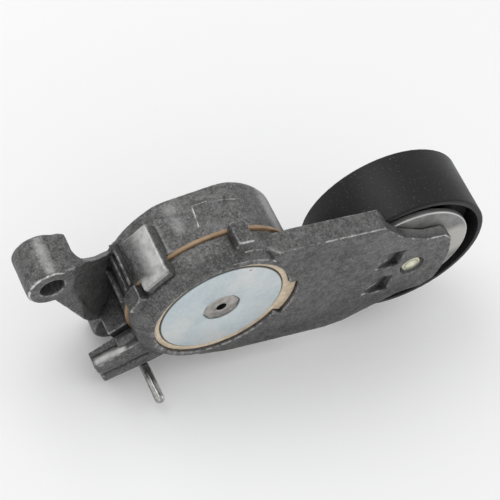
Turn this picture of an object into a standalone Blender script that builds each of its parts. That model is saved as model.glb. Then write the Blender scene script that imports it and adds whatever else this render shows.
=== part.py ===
"""Automatic belt tensioner with an idler pulley, for a ribbed belt drive.

Everything is drawn in the tensioner's own plan: x runs from the arm pivot to the pulley axle,
y is up in the plane of the arm and z is the height above the rear mounting face. The two
empties carry that plan upright, so its z points to the front, along world -Y.
"""

import math

import bmesh
import bpy
from mathutils import Vector

MM = 0.001
GAP = 0.3 * MM
OVERLAP = 1.0 * MM

# Pulley and its bearing
ARM_LENGTH = 80.2 * MM
PULLEY_RADIUS = 32.5 * MM
PULLEY_WIDTH = 25.0 * MM
PULLEY_FRONT = 28.9 * MM
PULLEY_WALL = 2.3 * MM
PULLEY_WEB = 6.0 * MM
PULLEY_SEAT_WALL = 3.4 * MM
PULLEY_RIB_COUNT = 10
PULLEY_RIB_THICKNESS = 2.0 * MM
BEARING_RADIUS = 20.0 * MM
BEARING_BORE_RADIUS = 8.5 * MM
BEARING_WIDTH = 12.0 * MM
BEARING_RING_WALL = 3.2 * MM
BALL_RADIUS = 3.2 * MM
BALL_COUNT = 8
CAGE_THICKNESS = 1.6 * MM
SEAL_THICKNESS = 0.8 * MM
SEAL_INSET = 0.4 * MM
SHANK_RADIUS = 3.9 * MM
AXLE_RECESS_RADIUS = 5.0 * MM
AXLE_RECESS_DEPTH = 1.3 * MM
AXLE_END_DEPTH = 0.8 * MM
AXLE_FLANGE_THICKNESS = 2.4 * MM
AXLE_HEX_FLATS = 13.0 * MM
AXLE_HEX_HEIGHT = 4.0 * MM
SHIELD_RADIUS = 25.6 * MM
SHIELD_THICKNESS = 1.0 * MM
SHIELD_RIM_DEPTH = 2.2 * MM
SPACER_RADIUS = 11.0 * MM

# Base housing
HOUSING_RADIUS = 32.5 * MM
HOUSING_HEIGHT = 21.0 * MM
HOUSING_WALL = 5.5 * MM
HOUSING_FLOOR = 4.5 * MM
HOUSING_EDGE = 2.5 * MM
FLAT_DISTANCE = 28.4 * MM
FLAT_ANGLE = math.radians(103.0)
STOP_ANGLE = math.radians(144.0)
STOP_WIDTH = 12.0 * MM
STOP_THICKNESS = 4.0 * MM
STOP_FOOT = 8.0 * MM
STOP_DROP = 4.5 * MM
RIB_ANGLES = [math.radians(a) for a in (166.0, 171.5, 184.0)]
RIB_WIDTH = 1.3 * MM
RIB_RISE = 2.0 * MM
LUG_ANGLE = math.radians(222.0)
LUG_OFFSET = 7.0 * MM
LUG_WIDTH = 10.0 * MM
LUG_STAND_OUT = 8.6 * MM
PIN_BOSS_ANGLE = math.radians(227.8)
PIN_BOSS_STAND_OFF = 8.0 * MM
PIN_BOSS_RADIUS = 8.5 * MM
PIN_BOSS_HEIGHT = 13.0 * MM
PIN_BOSS_WALL = 4.4 * MM
EAR_CENTRE = (-62.4 * MM, 11.9 * MM)
EAR_RADIUS = 9.2 * MM
EAR_HOLE_RADIUS = 4.55 * MM
EAR_LENGTH = 17.2 * MM
EAR_EDGE = 0.8 * MM
WEB_REAR = 1.0 * MM
WEB_SLOPE = math.radians(33.7)
WEB_SLOPE_TURN = math.radians(18.6)
WEB_FLOOR_SLOPE = math.radians(37.1)
WEB_FLOOR_TURN = math.radians(21.6)
WEB_BORDER = 1.8 * MM
WEB_CORNER = (-40.5 * MM, -19.5 * MM)

# Pivot
SHAFT_RADIUS = 7.0 * MM
SHAFT_SEAT_DEPTH = 3.0 * MM
SHAFT_FLATS = 13.0 * MM
SHAFT_HOLE_RADIUS = 2.0 * MM
SHAFT_HOLE_DEPTH = 12.0 * MM
SHAFT_RECESS = 0.3 * MM
BUSH_WALL = 1.2 * MM
BUSH_FLANGE = 1.6 * MM
BUSH_LIP = 1.9 * MM
BUSH_LENGTH = 11.0 * MM
TAB_REACH = 29.6 * MM
TAB_START = math.radians(-23.0)
TAB_END = math.radians(16.0)
DISC_RADIUS = 23.9 * MM
DISC_THICKNESS = 1.2 * MM
DISC_EDGE = 0.3 * MM
WASHER_THICKNESS = 1.3 * MM
WASHER_STAND_OUT = 0.5 * MM

# Torsion spring and its damper
SPRING_WIRE_RADIUS = 2.2 * MM
SPRING_MEAN_RADIUS = 21.5 * MM
SPRING_TURNS = 3.4
SPRING_POINTS_PER_TURN = 14
DAMPER_WALL = 1.8 * MM
DAMPER_HEIGHT = 14.0 * MM
DAMPER_GAP_ANGLE = math.radians(40.0)

# Arm
ARM_FACE = 34.2 * MM
ARM_EDGE_STEP = 1.5 * MM
ARM_WALL_DEPTH = 9.0 * MM
BEAM_START = 10.0 * MM
BEAM_LEAD = 4.5 * MM
BEAM_LEAD_SLOPE = math.radians(40.0)
ARM_PLATE = 3.4 * MM
ARM_SIDE_WALL = 3.2 * MM
HUB_SHOULDER_DROP = 4.2 * MM
HUB_LIP_WIDTH = 1.8 * MM
HUB_WALL = 5.0 * MM
HUB_STEP = 0.2 * MM
HUB_PLATE = 3.4 * MM
HUB_TUBE_RADIUS = 12.0 * MM
HUB_TUBE_FOOT = 7.0 * MM
STOP_LUG_HEIGHT = 4.0 * MM
STOP_LUG_WIDTH = 6.6 * MM
STOP_LUG_CENTRE = 0.9 * MM
STOP_LUG_DROP = 3.2 * MM
FORK_HEIGHT = 4.1 * MM
FORK_START = math.radians(159.5)
FORK_END = math.radians(173.0)
FORK_DROP = 4.4 * MM
SPANNER_DROP = 4.0 * MM
SPANNER_ANGLE = math.radians(224.0)
# Beyond the hub's rim and across the lug, in mm
SPANNER_OUTLINE = [(-14.5, -6.1), (-2.4, -7.6), (18.0, -9.4), (21.2, 3.3), (3.5, 9.7), (-8.5, 13.1)]
SPANNER_BEAD_RADIUS = 2.0 * MM
SPANNER_BEAD_LENGTH = 9.0 * MM
SPANNER_GROOVE_DEPTH = 0.9 * MM
SPANNER_GROOVE_WIDTH = 1.4 * MM
SPANNER_GROOVE_INSET = 5.5 * MM
POCKET_DEPTH = 3.0 * MM
POCKET_LENGTH = 10.0 * MM
POCKET_HEIGHT = 9.7 * MM
POCKET_ENDS = [(72.4 * MM, 7.5 * MM), (72.4 * MM, -8.4 * MM)]

# Locking pin
PIN_ANGLE = math.radians(239.25)
PIN_STAND_OFF = 8.6 * MM
PIN_RADIUS = 1.85 * MM
PIN_STAND_OUT = 12.0 * MM
PIN_EDGE = 0.9 * MM
PIN_EAR_WALL = 1.9 * MM
PIN_EAR_THICKNESS = 4.0 * MM

# Places that follow from the sizes above
HOUSING_CAVITY = HOUSING_RADIUS - HOUSING_WALL
WASHER_RADIUS = HOUSING_RADIUS + WASHER_STAND_OUT
HUB_RADIUS = HOUSING_RADIUS - HUB_STEP
ARM_HALF_HEIGHT = HUB_RADIUS - ARM_EDGE_STEP
STOP_INNER = WASHER_RADIUS + 2 * GAP
STOP_OUTER = STOP_INNER + STOP_THICKNESS
STOP_TOP = ARM_FACE - STOP_DROP
STOP_LUG_RADIUS = WASHER_RADIUS + STOP_LUG_HEIGHT
STOP_LUG_TOP = ARM_FACE - STOP_LUG_DROP
FORK_RADIUS = HUB_RADIUS + FORK_HEIGHT
FORK_TOP = ARM_FACE - FORK_DROP
SPANNER_TOP = ARM_FACE - SPANNER_DROP
LUG_REACH = HOUSING_RADIUS + LUG_STAND_OUT
PIN_TIP = ARM_FACE + PIN_STAND_OUT
WASHER_FOOT = HOUSING_HEIGHT + GAP
ARM_FOOT = WASHER_FOOT + WASHER_THICKNESS + GAP
LIP_INNER = DISC_RADIUS + BUSH_LIP + 2 * GAP
BUSH_RADIUS = LIP_INNER - GAP
DISC_TOP = ARM_FACE - 1.2 * MM
DISC_FOOT = DISC_TOP - DISC_THICKNESS
BUSH_TOP = DISC_FOOT - GAP
HUB_FLOOR = BUSH_TOP - BUSH_FLANGE - GAP
BUSH_BORE = SHAFT_RADIUS + GAP
BUSH_SLEEVE = BUSH_BORE + BUSH_WALL
TUBE_BORE = BUSH_SLEEVE + GAP
SHAFT_FOOT = HOUSING_FLOOR - SHAFT_SEAT_DEPTH + GAP
PULLEY_REAR = PULLEY_FRONT - PULLEY_WIDTH
BEARING_MIDDLE = (PULLEY_FRONT + PULLEY_REAR) / 2
BEARING_FRONT = BEARING_MIDDLE + BEARING_WIDTH / 2
BEARING_REAR = BEARING_MIDDLE - BEARING_WIDTH / 2
BALL_CIRCLE = (BEARING_RADIUS - GAP + BEARING_BORE_RADIUS) / 2
INNER_RING_RADIUS = BEARING_BORE_RADIUS + BEARING_RING_WALL
OUTER_RING_BORE = BEARING_RADIUS - GAP - BEARING_RING_WALL
SHIELD_TOP = ARM_FACE - HUB_SHOULDER_DROP - 1.0 * MM
SHIELD_FOOT = SHIELD_TOP - SHIELD_THICKNESS
ARM_END_FOOT = SHIELD_TOP + GAP
PIN_FOOT = PIN_BOSS_HEIGHT + GAP

PIN_REACH = HOUSING_RADIUS + PIN_STAND_OFF
PIN_CENTRE = (PIN_REACH * math.cos(PIN_ANGLE), PIN_REACH * math.sin(PIN_ANGLE))
BOSS_REACH = HOUSING_RADIUS + PIN_BOSS_STAND_OFF
PIN_BOSS_CENTRE = (BOSS_REACH * math.cos(PIN_BOSS_ANGLE), BOSS_REACH * math.sin(PIN_BOSS_ANGLE))

ALUMINIUM = ("cast_aluminium", (0.20, 0.20, 0.195, 1.0), 0.48, 0.85)
ZINC = ("zinc_plate", (0.55, 0.60, 0.62, 1.0), 0.30, 0.9)
YELLOW_ZINC = ("yellow_zinc", (0.52, 0.50, 0.30, 1.0), 0.35, 0.85)
STEEL = ("bright_steel", (0.50, 0.49, 0.48, 1.0), 0.25, 1.0)
SPRING_STEEL = ("spring_steel", (0.10, 0.10, 0.11, 1.0), 0.4, 0.9)
POLYMER = ("bush_polymer", (0.58, 0.42, 0.27, 1.0), 0.5, 0.0)
BLACK_PLASTIC = ("black_plastic", (0.012, 0.012, 0.013, 1.0), 0.45, 0.0)
SEAL_RUBBER = ("seal_rubber", (0.02, 0.02, 0.022, 1.0), 0.6, 0.0)


def clear_scene():
    """Start from an empty scene."""
    for old in list(bpy.data.objects):
        bpy.data.objects.remove(old, do_unlink=True)


def new_collection(name):
    collection = bpy.data.collections.new(name)
    bpy.context.scene.collection.children.link(collection)
    return collection


def new_empty(name, collection, parent=None, location=(0, 0, 0), rotation=(0, 0, 0)):
    empty = bpy.data.objects.new(name, None)
    empty.parent = parent
    empty.location = location
    empty.rotation_euler = rotation
    empty.empty_display_size = 10 * MM
    collection.objects.link(empty)
    return empty


def finish_of(preset):
    """The material for one preset, made once."""
    name, colour, roughness, metallic = preset
    found = bpy.data.materials.get(name)
    if found:
        return found
    material = bpy.data.materials.new(name)
    material.use_nodes = True
    shader = material.node_tree.nodes["Principled BSDF"]
    shader.inputs["Base Color"].default_value = colour
    shader.inputs["Roughness"].default_value = roughness
    shader.inputs["Metallic"].default_value = metallic
    material.diffuse_color = colour
    return material


class Shop:
    """Where new pieces and cutters go, and which axis carries them."""

    def __init__(self):
        self.parts = new_collection("belt_tensioner_idler")
        self.cutters = new_collection("cutters")
        upright = (math.pi / 2, 0, 0)
        self.pivot = new_empty("arm_pivot_axis", self.parts, rotation=upright)
        self.pulley = new_empty("pulley_axis", self.parts, self.pivot, (ARM_LENGTH, 0, 0))

    def add(self, name, mesh, preset, axis=None, location=(0, 0, 0)):
        """A piece of the tensioner."""
        piece = bpy.data.objects.new(name, mesh)
        mesh.materials.clear()
        mesh.materials.append(finish_of(preset))
        piece.parent = axis or self.pivot
        piece.location = location
        self.parts.objects.link(piece)
        return piece

    def cutter(self, name, mesh, axis=None, location=(0, 0, 0), rotation=(0, 0, 0)):
        """A shape that is cut from a piece or joined to it."""
        tool = bpy.data.objects.new(name, mesh)
        tool.parent = axis or self.pivot
        tool.location = location
        tool.rotation_euler = rotation
        tool.hide_render = True
        tool.display_type = "WIRE"
        self.cutters.objects.link(tool)
        return tool


def boolean(piece, tool, operation):
    modifier = piece.modifiers.new(tool.name, "BOOLEAN")
    modifier.operation = operation
    modifier.solver = "EXACT"
    modifier.object = tool


def join(piece, *tools):
    for tool in tools:
        boolean(piece, tool, "UNION")


def cut(piece, *tools):
    for tool in tools:
        boolean(piece, tool, "DIFFERENCE")


def polar(radius, angle):
    return (radius * math.cos(angle), radius * math.sin(angle))


def arc(radius, start, end, count, centre=(0, 0)):
    """Points along an arc, both ends included."""
    points = []
    for index in range(count):
        x, y = polar(radius, start + (end - start) * index / (count - 1))
        points.append((centre[0] + x, centre[1] + y))
    return points


def turned_mesh(name, profile, steps):
    """A profile of (radius, height) points turned round z. It runs down its outer side."""
    mesh = bpy.data.meshes.new(name)
    count = len(profile)
    on_axis = profile[0][0] == 0 and profile[-1][0] == 0
    edges = [(i, (i + 1) % count) for i in range(count - 1 if on_axis else count)]
    mesh.from_pydata([(r, 0, h) for r, h in profile], edges, [])
    guide = bpy.data.objects.new(name + "_profile", mesh)
    bpy.context.scene.collection.objects.link(guide)
    screw = guide.modifiers.new("turn", "SCREW")
    screw.axis = "Z"
    screw.steps = steps
    screw.render_steps = steps
    screw.use_merge_vertices = True
    screw.merge_threshold = 0.00001
    result = baked(name, guide)
    result.shade_smooth()
    result.set_sharp_from_angle(angle=math.radians(35))
    return result


def baked(name, guide):
    """The evaluated mesh of a guide object, which is then removed."""
    graph = bpy.context.evaluated_depsgraph_get()
    mesh = bpy.data.meshes.new_from_object(guide.evaluated_get(graph))
    mesh.name = name
    data = guide.data
    bpy.data.objects.remove(guide)
    if isinstance(data, bpy.types.Curve):
        bpy.data.curves.remove(data)
    else:
        bpy.data.meshes.remove(data)
    shape = bmesh.new()
    shape.from_mesh(mesh)
    bmesh.ops.remove_doubles(shape, verts=shape.verts, dist=0.000001)
    bmesh.ops.recalc_face_normals(shape, faces=shape.faces)
    shape.to_mesh(mesh)
    shape.free()
    return mesh


def plate_mesh(name, outline, foot, top):
    """A flat outline raised from foot to top."""
    curve = bpy.data.curves.new(name, "CURVE")
    curve.dimensions = "2D"
    curve.fill_mode = "BOTH"
    curve.extrude = (top - foot) / 2
    spline = curve.splines.new("POLY")
    spline.points.add(len(outline) - 1)
    for point, (x, y) in zip(spline.points, outline):
        point.co = (x, y, 0, 1)
    spline.use_cyclic_u = True
    guide = bpy.data.objects.new(name + "_outline", curve)
    bpy.context.scene.collection.objects.link(guide)
    mesh = baked(name, guide)
    for vertex in mesh.vertices:
        vertex.co.z += (top + foot) / 2
    return mesh


def box_mesh(name, low, high, edge=0.0):
    """A box between two corners, its edges rounded off by edge."""
    mesh = bpy.data.meshes.new(name)
    shape = bmesh.new()
    bmesh.ops.create_cube(shape, size=1)
    low = Vector(low)
    high = Vector(high)
    middle = (low + high) / 2
    for vertex in shape.verts:
        vertex.co = middle + Vector(c * s for c, s in zip(vertex.co, high - low))
    if edge:
        bmesh.ops.bevel(
            shape, geom=shape.edges[:], offset=edge, segments=1, affect="EDGES", profile=0.5
        )
    shape.to_mesh(mesh)
    shape.free()
    return mesh


def cylinder_mesh(name, radius, foot, top, sides=32, edge=0.0):
    """A plain cylinder, with its end edges chamfered by edge."""
    profile = [(0, top), (radius - edge, top)]
    if edge:
        profile += [(radius, top - edge), (radius, foot + edge)]
    profile += [(radius - edge, foot), (0, foot)]
    return turned_mesh(name, profile, sides)


def prism_mesh(name, flats, foot, top, sides):
    """A regular prism of the given width across flats."""
    corner = flats / 2 / math.cos(math.pi / sides)
    turn = math.pi / sides
    outline = [polar(corner, turn + 2 * math.pi * i / sides) for i in range(sides)]
    return plate_mesh(name, outline, foot, top)


def sector_mesh(name, inner, outer, start, end, foot, top, count=8):
    """A piece of a ring between two angles."""
    outline = arc(outer, start, end, count) + arc(inner, end, start, count)
    return plate_mesh(name, outline, foot, top)


def base_housing(shop):
    """The cast cup with its stop block, mounting ear, web, ribs and pin boss."""
    side = HOUSING_RADIUS
    bend = HOUSING_EDGE * (1 - math.sqrt(0.5))
    profile = [
        (0, HOUSING_HEIGHT),
        (side, HOUSING_HEIGHT),
        (side, HOUSING_EDGE),
        (side - bend, bend),
        (side - HOUSING_EDGE, 0),
        (0, 0),
    ]
    housing = shop.add("base_housing", turned_mesh("base_housing", profile, 64), ALUMINIUM)
    cut(housing, flat_cutter(shop))
    join(housing, web(shop), ear_boss(shop), stop_block(shop), side_lug(shop))
    join(housing, *housing_ribs(shop))
    join(housing, *pin_bosses(shop))
    shaft_seat = cylinder_mesh(
        "shaft_seat", SHAFT_RADIUS + GAP, SHAFT_FOOT - GAP, HOUSING_FLOOR + OVERLAP, 40
    )
    cavity = cylinder_mesh(
        "cavity", HOUSING_CAVITY, HOUSING_FLOOR, HOUSING_HEIGHT + OVERLAP, 64
    )
    ear_hole = cylinder_mesh("ear_hole", EAR_HOLE_RADIUS, -OVERLAP, EAR_LENGTH + OVERLAP)
    pin_hole = cylinder_mesh(
        "pin_hole", PIN_RADIUS + GAP, HOUSING_FLOOR, PIN_BOSS_HEIGHT + OVERLAP, 20
    )
    cut(housing, shop.cutter("cavity", cavity))
    cut(housing, shop.cutter("shaft_seat", shaft_seat))
    cut(housing, shop.cutter("ear_hole", ear_hole, location=(*EAR_CENTRE, 0)))
    cut(housing, shop.cutter("pin_hole", pin_hole, location=(*PIN_CENTRE, 0)))


def flat_cutter(shop):
    """The flat along the upper side of the cup."""
    reach = 2 * HOUSING_RADIUS
    mesh = box_mesh("upper_flat", (0, -reach, -reach), (reach, reach, reach))
    place = (*polar(FLAT_DISTANCE, FLAT_ANGLE), 0)
    return shop.cutter("upper_flat", mesh, location=place, rotation=(0, 0, FLAT_ANGLE))


def web(shop):
    """The plate from the cup to the mounting ear, leaning back towards the cup."""
    ear_x, ear_y = EAR_CENTRE
    foot_x, foot_y = PIN_BOSS_CENTRE
    outline = [
        (ear_x, ear_y + EAR_RADIUS),
        (ear_x + 0.7 * EAR_RADIUS, ear_y + EAR_RADIUS),
        (-HOUSING_RADIUS, 0.26 * HOUSING_RADIUS),
        (-0.5 * HOUSING_RADIUS, 0),
        (foot_x, foot_y),
        WEB_CORNER,
        (ear_x + 0.3 * EAR_RADIUS, ear_y - 0.95 * EAR_RADIUS),
        (ear_x, ear_y),
    ]
    plate = shop.cutter("web", plate_mesh("web", outline, WEB_REAR, EAR_LENGTH - GAP))
    reach = 2 * ARM_LENGTH
    start = Vector((ear_x + 0.6 * EAR_RADIUS, ear_y + EAR_RADIUS, EAR_LENGTH))
    above = box_mesh("web_slope", (-reach, -reach, 0), (reach, reach, reach))
    turn = (0, WEB_SLOPE, WEB_SLOPE_TURN)
    cut(plate, shop.cutter("web_slope", above, location=start, rotation=turn))
    outline = [
        (ear_x + 0.7 * EAR_RADIUS, ear_y + EAR_RADIUS - 3 * WEB_BORDER),
        (-HOUSING_RADIUS, 0.26 * HOUSING_RADIUS - 1.6 * WEB_BORDER),
        (-0.6 * HOUSING_RADIUS, 0),
        (foot_x, foot_y + PIN_BOSS_RADIUS),
        (WEB_CORNER[0] + WEB_BORDER, WEB_CORNER[1] + WEB_BORDER),
        (ear_x + EAR_RADIUS, ear_y - 0.6 * EAR_RADIUS),
    ]
    floor = math.tan(WEB_FLOOR_SLOPE)
    pocket = plate_mesh("web_pocket", outline, WEB_REAR, EAR_LENGTH + 9 * OVERLAP)
    for vertex in pocket.vertices:
        if vertex.co.z < EAR_LENGTH:
            aside_x = (vertex.co.x - outline[0][0]) * math.cos(WEB_FLOOR_TURN)
            aside_y = (vertex.co.y - outline[0][1]) * math.sin(WEB_FLOOR_TURN)
            vertex.co.z = EAR_LENGTH - 2 * GAP - floor * (aside_x + aside_y)
    cut(plate, shop.cutter("web_pocket", pocket))
    return plate


def ear_boss(shop):
    mesh = cylinder_mesh("ear_boss", EAR_RADIUS, 0, EAR_LENGTH, 40, EAR_EDGE)
    return shop.cutter("ear_boss", mesh, location=(*EAR_CENTRE, 0))


def stop_block(shop):
    """The block that stands past the rim into the arm's window and stops the arm both ways."""
    half = STOP_WIDTH / 2
    inner = HOUSING_RADIUS - HOUSING_WALL / 2
    mesh = box_mesh(
        "stop_block", (inner, -half, STOP_FOOT), (STOP_OUTER, half, STOP_TOP), 0.6 * MM
    )
    block = shop.cutter("stop_block", mesh, rotation=(0, 0, STOP_ANGLE))
    relief = cylinder_mesh("stop_relief", STOP_INNER, HOUSING_HEIGHT, STOP_TOP + OVERLAP, 64)
    cut(block, shop.cutter("stop_relief", relief))
    return block


def side_lug(shop):
    """The square lug beside the pin boss."""
    inner = HOUSING_RADIUS - HOUSING_WALL / 2
    low = (inner, -LUG_OFFSET, WEB_REAR)
    high = (LUG_REACH, LUG_WIDTH - LUG_OFFSET, HOUSING_HEIGHT)
    mesh = box_mesh("side_lug", low, high, 0.4 * MM)
    return shop.cutter("side_lug", mesh, rotation=(0, 0, LUG_ANGLE))


def housing_ribs(shop):
    """Thin upright ribs on the ear's side of the cup."""
    ribs = []
    inner = HOUSING_RADIUS - HOUSING_WALL / 2
    for number, angle in enumerate(RIB_ANGLES, 1):
        low = (inner, -RIB_WIDTH / 2, WEB_REAR + 2 * GAP)
        high = (HOUSING_RADIUS + RIB_RISE, RIB_WIDTH / 2, HOUSING_HEIGHT - 2 * GAP)
        mesh = box_mesh(f"side_rib_{number}", low, high)
        ribs.append(shop.cutter(f"side_rib_{number}", mesh, rotation=(0, 0, angle)))
    return ribs


def pin_bosses(shop):
    """The round boss behind the spanner lug and the smaller one round the locking pin's hole."""
    large = cylinder_mesh("round_boss", PIN_BOSS_RADIUS, 0, PIN_BOSS_HEIGHT, 36, EAR_EDGE)
    radius = PIN_RADIUS + GAP + PIN_BOSS_WALL
    small = cylinder_mesh("pin_boss", radius, GAP, PIN_BOSS_HEIGHT - GAP, 28, EAR_EDGE)
    return [
        shop.cutter("round_boss", large, location=(*PIN_BOSS_CENTRE, 0)),
        shop.cutter("pin_boss", small, location=(*PIN_CENTRE, 0)),
    ]


def pivot_shaft(shop):
    """The steel shaft in the cup's floor, with an eight-sided end in the cover disc."""
    profile = [
        (0, BUSH_TOP),
        (SHAFT_RADIUS, BUSH_TOP),
        (SHAFT_RADIUS, SHAFT_FOOT),
        (0, SHAFT_FOOT),
    ]
    shaft = shop.add("pivot_shaft", turned_mesh("pivot_shaft", profile, 40), STEEL)
    top = DISC_TOP - SHAFT_RECESS
    head = prism_mesh("shaft_head", SHAFT_FLATS, BUSH_TOP - OVERLAP, top, 8)
    hole = cylinder_mesh(
        "shaft_hole", SHAFT_HOLE_RADIUS, top - SHAFT_HOLE_DEPTH, top + OVERLAP, 24
    )
    join(shaft, shop.cutter("shaft_head", head))
    cut(shaft, shop.cutter("shaft_hole", hole))


def cover_disc(shop):
    """The plated disc that is held on the shaft's end."""
    rim = DISC_RADIUS - DISC_EDGE
    profile = [
        (0, DISC_TOP),
        (rim, DISC_TOP),
        (DISC_RADIUS, DISC_TOP - DISC_EDGE),
        (DISC_RADIUS, DISC_FOOT),
        (0, DISC_FOOT),
    ]
    disc = shop.add("cover_disc", turned_mesh("cover_disc", profile, 56), ZINC)
    hole = prism_mesh(
        "disc_hole", SHAFT_FLATS + 2 * GAP, DISC_FOOT - OVERLAP, DISC_TOP + OVERLAP, 8
    )
    cut(disc, shop.cutter("disc_hole", hole))


def friction_washer(shop):
    profile = [
        (WASHER_RADIUS, WASHER_FOOT + WASHER_THICKNESS),
        (WASHER_RADIUS, WASHER_FOOT),
        (HOUSING_CAVITY, WASHER_FOOT),
        (HOUSING_CAVITY, WASHER_FOOT + WASHER_THICKNESS),
    ]
    shop.add("friction_washer", turned_mesh("friction_washer", profile, 56), POLYMER)


def torsion_spring(shop):
    """A round-wire coil in the cup, round the arm's tube."""
    foot = HOUSING_FLOOR + GAP + SPRING_WIRE_RADIUS
    top = HUB_FLOOR - HUB_PLATE - GAP - SPRING_WIRE_RADIUS
    count = round(SPRING_TURNS * SPRING_POINTS_PER_TURN)
    curve = bpy.data.curves.new("torsion_spring", "CURVE")
    curve.dimensions = "3D"
    curve.bevel_depth = SPRING_WIRE_RADIUS
    curve.bevel_resolution = 2
    curve.use_fill_caps = True
    spline = curve.splines.new("POLY")
    spline.points.add(count)
    for index, point in enumerate(spline.points):
        share = index / count
        x, y = polar(SPRING_MEAN_RADIUS, 2 * math.pi * SPRING_TURNS * share)
        point.co = (x, y, foot + (top - foot) * share, 1)
    guide = bpy.data.objects.new("spring_guide", curve)
    bpy.context.scene.collection.objects.link(guide)
    shop.add("torsion_spring", baked("torsion_spring", guide), SPRING_STEEL)


def damper_sleeve(shop):
    """The split friction liner between the spring and the cup."""
    outer = HOUSING_CAVITY - GAP
    foot = HOUSING_FLOOR + GAP
    half_gap = DAMPER_GAP_ANGLE / 2
    mesh = sector_mesh(
        "damper_sleeve", outer - DAMPER_WALL, outer, half_gap, 2 * math.pi - half_gap,
        foot, foot + DAMPER_HEIGHT, 48,
    )
    shop.add("damper_sleeve", mesh, POLYMER)


def front_bush(shop):
    """The flanged bush under the cover disc, with a lip round the disc and a locating tab."""
    lip = BUSH_RADIUS - BUSH_LIP
    lip_top = DISC_TOP - GAP
    profile = [
        (BUSH_RADIUS, lip_top),
        (BUSH_RADIUS, BUSH_TOP - BUSH_FLANGE),
        (BUSH_SLEEVE, BUSH_TOP - BUSH_FLANGE),
        (BUSH_SLEEVE, BUSH_TOP - BUSH_LENGTH),
        (BUSH_BORE, BUSH_TOP - BUSH_LENGTH),
        (BUSH_BORE, BUSH_TOP),
        (lip, BUSH_TOP),
        (lip, lip_top),
    ]
    bush = shop.add("front_bush", turned_mesh("front_bush", profile, 48), POLYMER)
    tab = sector_mesh(
        "bush_tab", BUSH_RADIUS - BUSH_LIP / 2, TAB_REACH, TAB_START, TAB_END, BUSH_TOP, lip_top
    )
    join(bush, shop.cutter("bush_tab", tab))


def rear_bush(shop):
    foot = HUB_TUBE_FOOT
    profile = [
        (BUSH_SLEEVE, foot + BUSH_LENGTH),
        (BUSH_SLEEVE, foot),
        (BUSH_BORE, foot),
        (BUSH_BORE, foot + BUSH_LENGTH),
    ]
    shop.add("rear_bush", turned_mesh("rear_bush", profile, 40), POLYMER)


def arm_outline():
    """The arm's front outline, from the hub round the pulley end and back."""
    half = ARM_HALF_HEIGHT
    end = ARM_LENGTH
    return [
        (BEAM_START, half - 0.8 * MM),
        (BEAM_START + 13.0 * MM, half),
        (end - 22.3 * MM, half),
        (end - 11.7 * MM, 21.8 * MM),
        (end + 0.3 * MM, 16.9 * MM),
        (end + 8.6 * MM, 16.8 * MM),
        (end + 12.6 * MM, 13.4 * MM),
        (end + 14.9 * MM, 5.0 * MM),
        (end + 15.4 * MM, -4.0 * MM),
        (end + 14.0 * MM, -12.4 * MM),
        (end + 9.6 * MM, -16.2 * MM),
        (end + 0.5 * MM, -17.4 * MM),
        (end - 9.3 * MM, -22.8 * MM),
        (end - 20.6 * MM, -29.0 * MM),
        (end - 28.0 * MM, -half),
        (BEAM_START, -half),
        (BEAM_START - 12.0 * MM, 2.0 * MM - half),
    ]


def tension_arm(shop):
    """The cast arm: hub, tube, hollow beam, stop lug, fork, spanner lug and pin ear."""
    shoulder = ARM_FACE - HUB_SHOULDER_DROP
    lip_top = LIP_INNER + HUB_LIP_WIDTH
    lip_face = ARM_FACE - GAP / 3
    plate_foot = HUB_FLOOR - HUB_PLATE
    profile = [
        (lip_top, lip_face),
        (HUB_RADIUS - GAP, shoulder + GAP),
        (HUB_RADIUS, shoulder - GAP),
        (HUB_RADIUS, ARM_FOOT),
        (HUB_RADIUS - HUB_WALL, ARM_FOOT),
        (HUB_RADIUS - HUB_WALL, plate_foot),
        (HUB_TUBE_RADIUS, plate_foot),
        (HUB_TUBE_RADIUS, HUB_TUBE_FOOT),
        (TUBE_BORE, HUB_TUBE_FOOT),
        (TUBE_BORE, HUB_FLOOR),
        (LIP_INNER, HUB_FLOOR),
        (LIP_INNER, lip_face),
    ]
    arm = shop.add("tension_arm", turned_mesh("tension_arm", profile, 64), ALUMINIUM)
    join(arm, beam(shop), stop_lug(shop), fork(shop), spanner_lug(shop), spanner_bead(shop))
    join(arm, pin_ear(shop))
    tab_window = sector_mesh(
        "tab_window", LIP_INNER - GAP, TAB_REACH + GAP, TAB_START - GAP / TAB_REACH,
        TAB_END + GAP / TAB_REACH, BUSH_TOP - GAP, ARM_FACE + OVERLAP,
    )
    pin_bore = cylinder_mesh("pin_bore", PIN_RADIUS + GAP, PIN_FOOT, PIN_TIP, 20)
    cut(arm, shop.cutter("tab_window", tab_window))
    cut(arm, shop.cutter("pin_bore", pin_bore, location=(*PIN_CENTRE, 0)))
    cut(arm, *axle_seat(shop))


def beam(shop):
    """The arm's beam: a deep trough beside the hub and a flat plate over the pulley."""
    foot = ARM_FACE - ARM_WALL_DEPTH
    plate = shop.cutter("beam", plate_mesh("beam", arm_outline(), foot, ARM_FACE))
    well = cylinder_mesh(
        "pulley_well", PULLEY_RADIUS + 5 * GAP, foot - OVERLAP, ARM_END_FOOT, 64
    )
    hub_bore = cylinder_mesh(
        "hub_bore", HUB_RADIUS - HUB_WALL + GAP, foot - OVERLAP, ARM_FACE + OVERLAP, 64
    )
    half = ARM_HALF_HEIGHT - ARM_SIDE_WALL
    start = HUB_RADIUS + ARM_SIDE_WALL / 2
    end = ARM_LENGTH - PULLEY_RADIUS - ARM_SIDE_WALL
    low = (start, ARM_SIDE_WALL / 2, foot - OVERLAP)
    high = (end, half, ARM_FACE - ARM_PLATE)
    upper = box_mesh("upper_core", low, high)
    lower = box_mesh("lower_core", (low[0], -high[1], low[2]), (high[0], -low[1], high[2]))
    cut(plate, shop.cutter("pulley_well", well, shop.pulley), shop.cutter("hub_bore", hub_bore))
    cut(plate, shop.cutter("upper_core", upper), shop.cutter("lower_core", lower))
    cut(plate, beam_lead(shop), *front_pockets(shop))
    return plate


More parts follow.
